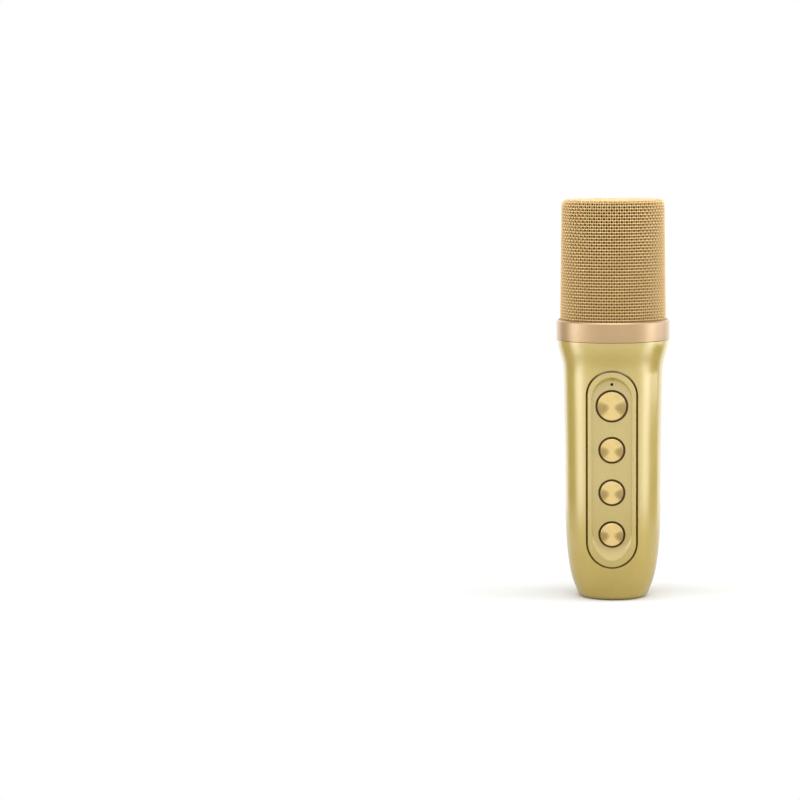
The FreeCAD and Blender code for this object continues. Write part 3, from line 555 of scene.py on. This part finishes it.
def barrel():
    """The handle's outer skin and its inner wall, one closed surface. Round the panel opening, rows run from
    the inner wall up over the groove's ledge, wall and rounded edge and out to a rectangle in (angle,
    height), by straight interpolation between the two. Plain turned patches go on from that rectangle
    round the back, up over the lip and down under the foot."""
    upright, over, round_back = 150, 60, 96
    edge = 0.15
    wide = math.radians(62)
    low_z, high_z = 8.0, 97.5
    points, outward = stadium(PANEL_HALF_WIDTH + GROOVE_GAP, PANEL_LOW_Z - GROOVE_GAP,
                              PANEL_HIGH_Z + GROOVE_GAP, upright, over)
    sides = np.linspace(low_z, high_z, upright + 1)[:-1]
    across = np.linspace(wide, -wide, over + 1)[:-1]
    frame_angle = np.concatenate([0 * sides + wide, across, 0 * sides - wide, -across])
    frame_height = np.concatenate([sides, 0 * across + high_z, sides[::-1] + sides[1] - sides[0],
                                   0 * across + low_z])

    def round_the_opening(outwards, depth):
        moved = points + outward * outwards
        return np.stack([moved[:, 0], barrel_front(*moved.T) + depth, moved[:, 1]], axis=1)

    def out_to_rectangle(outwards, inset, shares):
        start = points + outward * outwards
        start_angle = np.arcsin(start[:, 0] / (barrel_r(start[:, 1]) - inset))
        share = shares[:, None]
        angle = start_angle + share * (frame_angle - start_angle)
        height = start[:, 1] + share * (frame_height - start[:, 1])
        radius = barrel_r(height) - inset
        return np.stack([radius * np.sin(angle), -radius * np.cos(angle), height], axis=-1)

    rows = list(out_to_rectangle(2.0, SHELL_WALL, np.linspace(1, 0, 16)))
    ledge_end = 0.05 - GROOVE_GAP
    section = [(1.2, 3.2), (ledge_end, 3.2), (ledge_end, GROOVE_DEPTH), (-0.3, GROOVE_DEPTH),
               (-0.08, GROOVE_DEPTH), (0.0, GROOVE_DEPTH - 0.08), (0.0, GROOVE_DEPTH - 0.3), (0.0, 0.4)]
    rounding = np.linspace(0, math.pi / 2, 7)[:-1]
    section += [(edge * (1 - math.cos(turn)), edge * (1 - math.sin(turn))) for turn in rounding]
    rows.extend(round_the_opening(*step) for step in section)
    rows.extend(out_to_rectangle(edge, 0.0, np.concatenate([[0, 0.006], np.linspace(0.02, 1, 36)**1.2])))

    def patch(outline, angles):
        radius, height = outline[:, :1], outline[:, 1:]
        return np.stack([radius * np.sin(angles), -radius * np.cos(angles), height + 0 * angles], axis=-1)

    back_angles = np.linspace(wide, 2 * math.pi - wide, round_back + 1)
    heights = np.linspace(low_z, high_z, upright + 1)
    outer_back = patch(np.stack([barrel_r(heights), heights], axis=1), back_angles)
    inner_back = patch(np.stack([barrel_r(heights) - SHELL_WALL, heights], axis=1), back_angles)
    all_round = np.concatenate([-np.linspace(wide, -wide, over + 1)[:-1], back_angles[:-1]])
    flare_z = np.linspace(high_z, 101.0, 14)
    lip = rounded([(barrel_r(101.0), 101.0, 0), (22.42, 102.0, 1.0), (22.55, BODY_TOP_Z, 0.2),
                   (SOCKET_R, BODY_TOP_Z, 0.3), (SOCKET_R, high_z + 0.7, 0.2),
                   (barrel_r(high_z) - SHELL_WALL, high_z, 0)])
    top = patch(np.concatenate([np.stack([barrel_r(flare_z), flare_z], axis=1), lip]), all_round)
    inner_z = np.linspace(low_z, 5.0, 4)
    foot = rounded([(barrel_r(5.0) - SHELL_WALL, 5.0, 0), (barrel_r(4.0) - SHELL_WALL, 4.0, 0.4),
                    (FOOT_HOLE_R, 4.0, 0.1), (FOOT_HOLE_R, 1.8, 0.1), (PORT_SEAT_R, 1.8, 0.1),
                    (PORT_SEAT_R, 0.0, 0.2), (barrel_r(0.0), 0.0, 0.25), (barrel_r(0.3), 0.3, 0)])
    foot_z = np.concatenate([np.linspace(0.3, 1.0, 8), np.linspace(1.1, low_z, 26)])
    bottom = patch(np.concatenate([np.stack([barrel_r(inner_z) - SHELL_WALL, inner_z], axis=1), foot,
                                   np.stack([barrel_r(foot_z), foot_z], axis=1)]), all_round)
    mesh = make_mesh("handle_barrel", [(np.array(rows), True), (outer_back, False), (inner_back, False),
                                       (top, True), (bottom, True)])
    return place("handle_barrel", mesh, "handle", FINISH["gold_lacquer"], ["body_shell"], 40)


def soft_max(a, b, width):
    """The larger of two fields, rounded over `width` where they cross."""
    share = np.clip(0.5 + 0.5 * (a - b) / width, 0, 1)
    return b + (a - b) * share + width * share * (1 - share)


def panel_surface(x, z):
    """Y of the panel's front: the barrel's own surface on the rim, sunk to a face that is flat across,
    with a sloping wall between. The wall is a stadium that widens towards the front."""
    floor = FACE_INSET - barrel_r(z)
    low, high = np.zeros_like(x), np.ones_like(x) * 2.0
    for _ in range(24):
        share = (low + high) / 2
        half = 7.6 + 0.9 * share
        bottom, top = 23.8 - 15.1 * share + half, 87.0 + 4.5 * share - half
        inside = np.hypot(x, z - np.clip(z, bottom, top)) < half
        high = np.where(inside, share, high)
        low = np.where(inside, low, share)
    wall = -15.0 - 7.0 * (low + high) / 2
    sunk = -soft_max(-floor, -wall, 0.5)
    return soft_max(barrel_front(x, z), sunk, 0.25)


def panel():
    """The button panel: stadium rings from its back, up its edge and in over rim, wall and face to its middle
    line, then round holes cut through for the caps and the lamp."""
    upright, over = 200, 110
    edge = 0.15
    shape = (PANEL_HALF_WIDTH, PANEL_LOW_Z, PANEL_HIGH_Z)
    points, outward = stadium(*shape, upright, over)
    back = PANEL_BACK_INSET - barrel_r(points[:, 1])
    rows = []
    for inwards in np.linspace(PANEL_HALF_WIDTH, 0, 5):
        moved = points - outward * inwards
        rows.append(np.stack([moved[:, 0], PANEL_BACK_INSET - barrel_r(moved[:, 1]), moved[:, 1]], axis=1))
    front = barrel_front(*points.T)
    for share in (0.5, 0.95):
        rows.append(np.stack([points[:, 0], back + (front + edge - back) * share, points[:, 1]], axis=1))
    for turn in np.linspace(0, math.pi / 2, 6)[:-1]:
        moved = points - outward * edge * (1 - math.cos(turn))
        sink = edge * (1 - math.sin(turn))
        rows.append(np.stack([moved[:, 0], panel_surface(*moved.T) + sink, moved[:, 1]], axis=1))
    steps = [np.linspace(edge, 1.1, 16), np.linspace(1.14, 2.1, 32), np.linspace(2.16, 4.3, 36),
             np.linspace(4.6, PANEL_HALF_WIDTH, 12)]
    for inwards in np.concatenate(steps):
        moved = points - outward * inwards
        rows.append(np.stack([moved[:, 0], panel_surface(*moved.T), moved[:, 1]], axis=1))
    mesh = make_mesh("panel_skin", [(np.array(rows), True)])
    # The panel takes the paler copy of the body lacquer, painted light on its face
    piece = place("button_panel_skin", mesh, "handle", FINISH["panel_lacquer"],
                  ["button_panel"], 40)
    cutters = []
    for name in ("power", "upper", "middle", "lower"):
        low, high = extent(name + "_button")
        hole_r = (high[0] - low[0]) / 2 - BUTTON_FLANGE + BUTTON_GAP
        cutters.append((hole_r, (low[2] + high[2]) / 2, 128))
    lens_low, lens_high = extent("indicator_lens")
    cutters.append((0.6, (lens_low[2] + lens_high[2]) / 2, 40))
    for radius, height, steps in cutters:
        angle = np.linspace(0, 2 * math.pi, steps, endpoint=False)
        outline = np.array([(0.0, -24.0), (radius, -24.0), (radius, -10.0), (0.0, -10.0)])
        ring = np.stack([outline[:, :1] * np.cos(angle), outline[:, 1:] + 0 * angle,
                         height + outline[:, :1] * np.sin(angle)], axis=-1)
        cutter = bpy.data.objects.new("cutter", make_mesh("cutter", [(ring, True)]))
        bpy.context.scene.collection.objects.link(cutter)
        cut = piece.modifiers.new("hole", "BOOLEAN")
        cut.object = cutter
        cut.solver = "EXACT"
        apply_modifiers(piece)
        bpy.data.objects.remove(cutter)
    piece.data.set_sharp_from_angle(angle=math.radians(40))
    return piece


def button(name):
    """A turned cap: face, broken edge, side, flange and stem, as one outline turned about the cap's axis.
    Its side, flange and stem behind the face are coloured dark brown, painted shade for the gap round the
    cap."""
    low, high = extent(name + "_button")
    height = (low[2] + high[2]) / 2
    flange_r = (high[0] - low[0]) / 2
    cap_r = flange_r - BUTTON_FLANGE
    front = low[1]
    stem_back = high[1]
    flange_y = PANEL_BACK_INSET - barrel_r(height - flange_r) + 0.12
    corners = [(0, front, 0), (cap_r, front, 0.28), (cap_r, flange_y, 0.1), (flange_r, flange_y, 0.1),
               (flange_r, flange_y + 0.8, 0.1), (1.5, flange_y + 0.8, 0.1), (1.5, stem_back, 0.1),
               (0, stem_back, 0)]
    outline = rounded(corners)
    rings = np.linspace(0, 1, 12)[1:, None] * (outline[1] - outline[0]) + outline[0]
    outline = np.concatenate([outline[:1], rings, outline[2:]])
    angle = np.linspace(0, 2 * math.pi, 144, endpoint=False)
    radius, depth = outline[:, :1], outline[:, 1:]
    grid = np.stack([radius * np.cos(angle), depth + 0 * angle, height + radius * np.sin(angle)], axis=-1)
    mesh = make_mesh(name + "_cap", [(grid, True)])
    polar_uv(mesh, (0, 0, height), 1)
    piece = place(name + "_cap", mesh, name + "_button_cap", FINISH["cap_anodised"],
                  [name + "_button"], 40)
    # Painted shade: the cap's side, flange and stem behind its face take a dark brown colour
    mesh.materials.append(SKIRT_PAINTED_SHADE)
    for face in mesh.polygons:
        middle = face.center / MM
        face.material_index = int(math.hypot(middle.x, middle.z - height) > cap_r - 0.01
                                  and middle.y > front + SKIRT_START)
    return piece


# ---- grille head ----------------------------------------------------------------------------------

def collar():
    """The collar ring, a closed outline turned about Z, with its broad chamfer on the outer top edge."""
    low_z, high_z = COLLAR_LOW_Z, COLLAR_HIGH_Z
    outline = rounded([(19.1, low_z, 0), (COLLAR_R, low_z, 0.12), (COLLAR_R, high_z - 0.6, 0.12),
                       (COLLAR_R - 0.6, high_z, 0.12), (21.7, high_z, 0.1), (21.7, 109.0, 0.1),
                       (19.1, 109.0, 0.1), (19.1, low_z, 0)])
    mesh = make_mesh("collar_ring_turned", [(turned(outline, 256), True)])
    return place("collar_ring_turned", mesh, "grille_head", FINISH["collar_anodised"],
                 ["collar_ring"], 40)


def basket_path():
    """Middle line of the basket's side as (radius, height) points, up the tapered side, round the shoulder
    and in to the crown, and the distance along it of each point."""
    top = BASKET_HIGH_Z
    path = rounded([(BASKET_LOW_R - SKIN, BASKET_LOW_Z + 0.3, 0),
                    (BASKET_TOP_R - SKIN, top - SKIN, SHOULDER_R - SKIN), (CROWN_R, top - SKIN, 0)], 24)
    lengths = np.concatenate([[0], np.cumsum(np.linalg.norm(np.diff(path, axis=0), axis=1))])
    return path, lengths


def side_point(path, lengths, along, angle, outwards, sideways):
    """Points of the basket's side: a distance up the middle line, an angle round it, and small offsets
    out from the surface and sideways round it."""
    radius = np.interp(along, lengths, path[:, 0])
    height = np.interp(along, lengths, path[:, 1])
    step = 0.02
    d_radius = np.interp(along + step, lengths, path[:, 0]) - np.interp(along - step, lengths, path[:, 0])
    d_height = np.interp(along + step, lengths, path[:, 1]) - np.interp(along - step, lengths, path[:, 1])
    size = np.hypot(d_radius, d_height)
    radius = radius + outwards * d_height / size
    height = height - outwards * d_radius / size
    turn = angle + sideways / radius
    return np.stack([radius * np.sin(turn), -radius * np.cos(turn), height + 0 * turn], axis=-1)


def uprights():
    """The upright wires. Each goes in and out over the hoops as a cosine along its length, and sways
    sideways as the sine, so that wide and narrow openings alternate."""
    path, lengths = basket_path()
    along = np.arange(0.0, lengths[-1], HOOP_PITCH / 3)[None, :]
    for half, name in ((0, "grille_uprights_front"), (1, "grille_uprights_back")):
        wires = np.arange(UPRIGHTS // 2)[:, None] + half * UPRIGHTS // 2
        angle = (wires + 0.5) * 2 * math.pi / UPRIGHTS - math.pi / 2
        sign = 1 - 2 * (wires % 2)
        phase = math.pi * along / HOOP_PITCH
        lines = side_point(path, lengths, along + 0 * angle, angle + 0 * along,
                           sign * np.cos(phase) * CRIMP, sign * np.sin(phase) * SWAY)
        out = np.stack([np.sin(angle), -np.cos(angle), 0.6 + 0 * angle], axis=-1) + 0 * lines
        mesh = tube_mesh(name, lines, UPRIGHT_WIRE / 2, 6, out)
        place(name, mesh, "grille_head", FINISH["mesh_wire"], ["grille_basket"], 80)


def hoops():
    """The level wires, going in and out over the uprights as a cosine round the basket."""
    path, lengths = basket_path()
    count = int(lengths[-1] / HOOP_PITCH)
    steps = UPRIGHTS * 3
    angle = (np.arange(steps)[None, :] / 3 + 0.5) * 2 * math.pi / UPRIGHTS - math.pi / 2
    wave = np.cos(math.pi * np.arange(steps)[None, :] / 3)
    for part, name in ((range(0, count // 2), "grille_hoops_low"),
                       (range(count // 2, count + 1), "grille_hoops_high")):
        rows = np.array(part)[:, None]
        sign = 1 - 2 * (rows % 2)
        lines = side_point(path, lengths, rows * HOOP_PITCH + 0 * angle, angle + 0 * rows,
                           -sign * wave * CRIMP, 0 * angle)
        up = np.zeros_like(lines) + np.array([0.0, 0.0, 1.0])
        mesh = tube_mesh(name, lines, HOOP_WIRE / 2, 6, up, closed=True)
        place(name, mesh, "grille_head", FINISH["mesh_wire"], (), 80)


def crown():
    """The flat top: a square weave cut to a circle, every wire a cosine over the ones it crosses."""
    pitch = 1.05
    reach = int(CROWN_R / pitch)
    steps = 80
    middle_z = BASKET_HIGH_Z - SKIN
    rows = np.arange(-reach, reach + 1)[:, None]
    offset = rows * pitch
    half = np.sqrt(CROWN_R**2 - offset**2)
    along = np.linspace(-1, 1, steps)[None, :] * half
    sign = 1 - 2 * (rows % 2)
    rise = sign * np.cos(math.pi * along / pitch) * CRIMP
    level = offset + 0 * along
    one_way = np.stack([level, along, middle_z + rise], axis=-1)
    other_way = np.stack([along, level, middle_z - rise], axis=-1)
    lines = np.concatenate([one_way, other_way])
    up = np.zeros_like(lines) + np.array([0.0, 0.0, 1.0])
    mesh = tube_mesh("grille_crown", lines, UPRIGHT_WIRE / 2, 6, up)
    place("grille_crown", mesh, "grille_head", FINISH["mesh_wire"], (), 80)
    turn = np.linspace(0, 2 * math.pi, 192, endpoint=False)
    seam = np.stack([CROWN_R * np.cos(turn), CROWN_R * np.sin(turn), middle_z + 0 * turn], axis=-1)
    seam = seam[None]
    up = np.zeros_like(seam) + np.array([0.0, 0.0, 1.0])
    mesh = tube_mesh("grille_crown_seam", seam, 0.3, 12, up, closed=True)
    place("grille_crown_seam", mesh, "grille_head", FINISH["mesh_wire"], (), 80)


def foam():
    """The foam liner: a cup following the basket from inside."""
    inset = 2 * SKIN + 0.12
    low_z = extent("foam_liner")[0][2]
    top = BASKET_HIGH_Z - inset
    outer = rounded([(BASKET_LOW_R - inset - 0.05, low_z, 0), (BASKET_TOP_R - inset, top, 3.2),
                     (0.0, top, 0)], 12)
    inner = rounded([(0.0, top - 3.0, 0), (BASKET_TOP_R - inset - 3.0, top - 3.0, 1.5),
                     (BASKET_LOW_R - inset - 3.0, low_z, 0)], 8)
    outline = np.concatenate([outer, inner, outer[:1]])
    fine = [outline[0]]
    for start, end in zip(outline, outline[1:]):
        steps = max(1, int(np.linalg.norm(end - start) / 1.2))
        fine.extend(start + (end - start) * share for share in np.linspace(0, 1, steps + 1)[1:])
    mesh = make_mesh("foam_liner_cup", [(turned(np.array(fine), 128), True)])
    piece = place("foam_liner_cup", mesh, "grille_head", FINISH["open_cell_foam"],
                  ["foam_liner"], 60)
    return piece


# ---- studio ---------------------------------------------------------------------------------------

def flat_light(name, position, target, size, power):
    """A white rectangular softbox facing a target."""
    data = bpy.data.lights.new(name, "AREA")
    data.shape = "RECTANGLE"
    data.size, data.size_y = size
    data.energy = power
    lamp = bpy.data.objects.new(name, data)
    lamp.location = position
    lamp.rotation_euler = (Vector(target) - Vector(position)).to_track_quat("-Z", "Y").to_euler()
    bpy.context.scene.collection.objects.link(lamp)


def studio():
    """A sheet of pale paper that fades out round the microphone and is a darker grey in reflections and
    bounced light, as painted shade; softboxes left, right and overhead, and
    a grey world: even in front, bright at the sides, dark behind each shoulder and pale at the back."""
    size = 4000.0
    corners = np.array([[[-size, -size, 0], [size, -size, 0]], [[-size, size, 0], [size, size, 0]]])
    mesh = make_mesh("studio_floor", [(corners, False)], weld=False)
    material, tree, shader, place_mm = new_material("pale matt studio paper")
    grain = add(tree, "ShaderNodeTexNoise", values={"Scale": 1 / 40.0}, Vector=place_mm)
    seen = add(tree, "ShaderNodeLightPath")
    # Painted shade: the paper is pale to the camera and a darker grey in reflections and bounced light
    pale = add(tree, "ShaderNodeMix", {"data_type": "RGBA"}, {6: linear("#c0bcb4")},
               Factor=seen.outputs["Is Camera Ray"])
    tree.links.new(spread(tree, grain.outputs["Fac"], 0.3, 0.7, "#e1e1e1", "#e5e5e5"), pale.inputs[7])
    tree.links.new(pale.outputs[2], shader.inputs["Base Color"])
    set_shader(shader, Roughness=0.9, Specular_IOR_Level=0.1)
    far = add(tree, "ShaderNodeVectorMath", {"operation": "LENGTH"})
    tree.links.new(place_mm, far.inputs[0])
    fade = add(tree, "ShaderNodeMapRange", {"interpolation_type": "SMOOTHSTEP"}, {1: 110.0, 2: 300.0},
               Value=far.outputs["Value"])
    clear = add(tree, "ShaderNodeBsdfTransparent")
    blend = add(tree, "ShaderNodeMixShader", Fac=fade.outputs["Result"])
    tree.links.new(shader.outputs[0], blend.inputs[1])
    tree.links.new(clear.outputs[0], blend.inputs[2])
    tree.links.new(blend.outputs[0], tree.nodes["Material Output"].inputs["Surface"])
    mesh.materials.append(material)
    floor = bpy.data.objects.new("studio_floor", mesh)
    bpy.context.scene.collection.objects.link(floor)

    flat_light("left_softbox", (-0.62, -0.16, 0.45), (0, 0, 0.45), (0.525, 0.9), 0.7)
    flat_light("right_softbox", (0.63, 0.14, 0.45), (0, 0, 0.45), (0.525, 0.9), 2.2)
    flat_light("overhead_softbox", (0, -0.26, 1.2), (0, -0.1, 0.1), (0.8, 1.3), 4.2)

    world = bpy.data.worlds.new("grey studio")
    world.use_nodes = True
    tree = world.node_tree
    background = tree.nodes["Background"]
    direction = add(tree, "ShaderNodeTexCoord")
    axes = add(tree, "ShaderNodeSeparateXYZ", Vector=direction.outputs["Generated"])
    ahead = ranged(tree, axes.outputs["Y"], -1.0, 1.0, 0.0, 1.0)
    ramp = add(tree, "ShaderNodeValToRGB", Fac=ahead)
    ramp.color_ramp.elements[0].position, ramp.color_ramp.elements[1].position = 0.0, 0.3
    for position in (0.42, 0.51, 0.6, 0.79, 0.87):
        ramp.color_ramp.elements.new(position)
    for stop, level in zip(ramp.color_ramp.elements, (0.41, 0.41, 1.0, 0.7, 0.11, 0.11, 0.5)):
        stop.color = (level, level, level, 1.0)
    tree.links.new(ramp.outputs["Color"], background.inputs["Color"])
    background.inputs["Strength"].default_value = 2.6
    backdrop = add(tree, "ShaderNodeBackground", values={"Color": (1, 1, 1, 1), "Strength": 1.0})
    path = add(tree, "ShaderNodeLightPath")
    mix = add(tree, "ShaderNodeMixShader", Fac=path.outputs["Is Camera Ray"])
    tree.links.new(background.outputs[0], mix.inputs[1])
    tree.links.new(backdrop.outputs[0], mix.inputs[2])
    tree.links.new(mix.outputs[0], tree.nodes["World Output"].inputs["Surface"])
    bpy.context.scene.world = world
    bpy.context.scene.view_settings.view_transform = "Standard"


def camera():
    """A long lens a little above the microphone, which stands right of the picture's middle."""
    distance, eye_z = 1.1057, 0.19167
    round_right = math.radians(1.4)
    yaw, pitch, roll = math.radians(4.444), math.radians(5.785), math.radians(-0.44)
    data = bpy.data.cameras.new("studio_camera")
    data.sensor_width = 36.0
    data.lens = 123.93
    data.clip_start = 0.01
    eye = bpy.data.objects.new("studio_camera", data)
    turn = (Matrix.Rotation(yaw, 4, "Z") @ Matrix.Rotation(math.pi / 2 - pitch, 4, "X")
            @ Matrix.Rotation(roll, 4, "Z"))
    eye.matrix_world = Matrix.Rotation(round_right, 4, "Z") @ Matrix.Translation((0, -distance, eye_z)) @ turn
    bpy.context.scene.collection.objects.link(eye)
    bpy.context.scene.camera = eye


# ---- build ----------------------------------------------------------------------------------------

camera()
finish_frame_nodes()
barrel()
panel()
for button_name in ("power", "upper", "middle", "lower"):
    button(button_name)
collar()
uprights()
hoops()
crown()
foam()
studio()
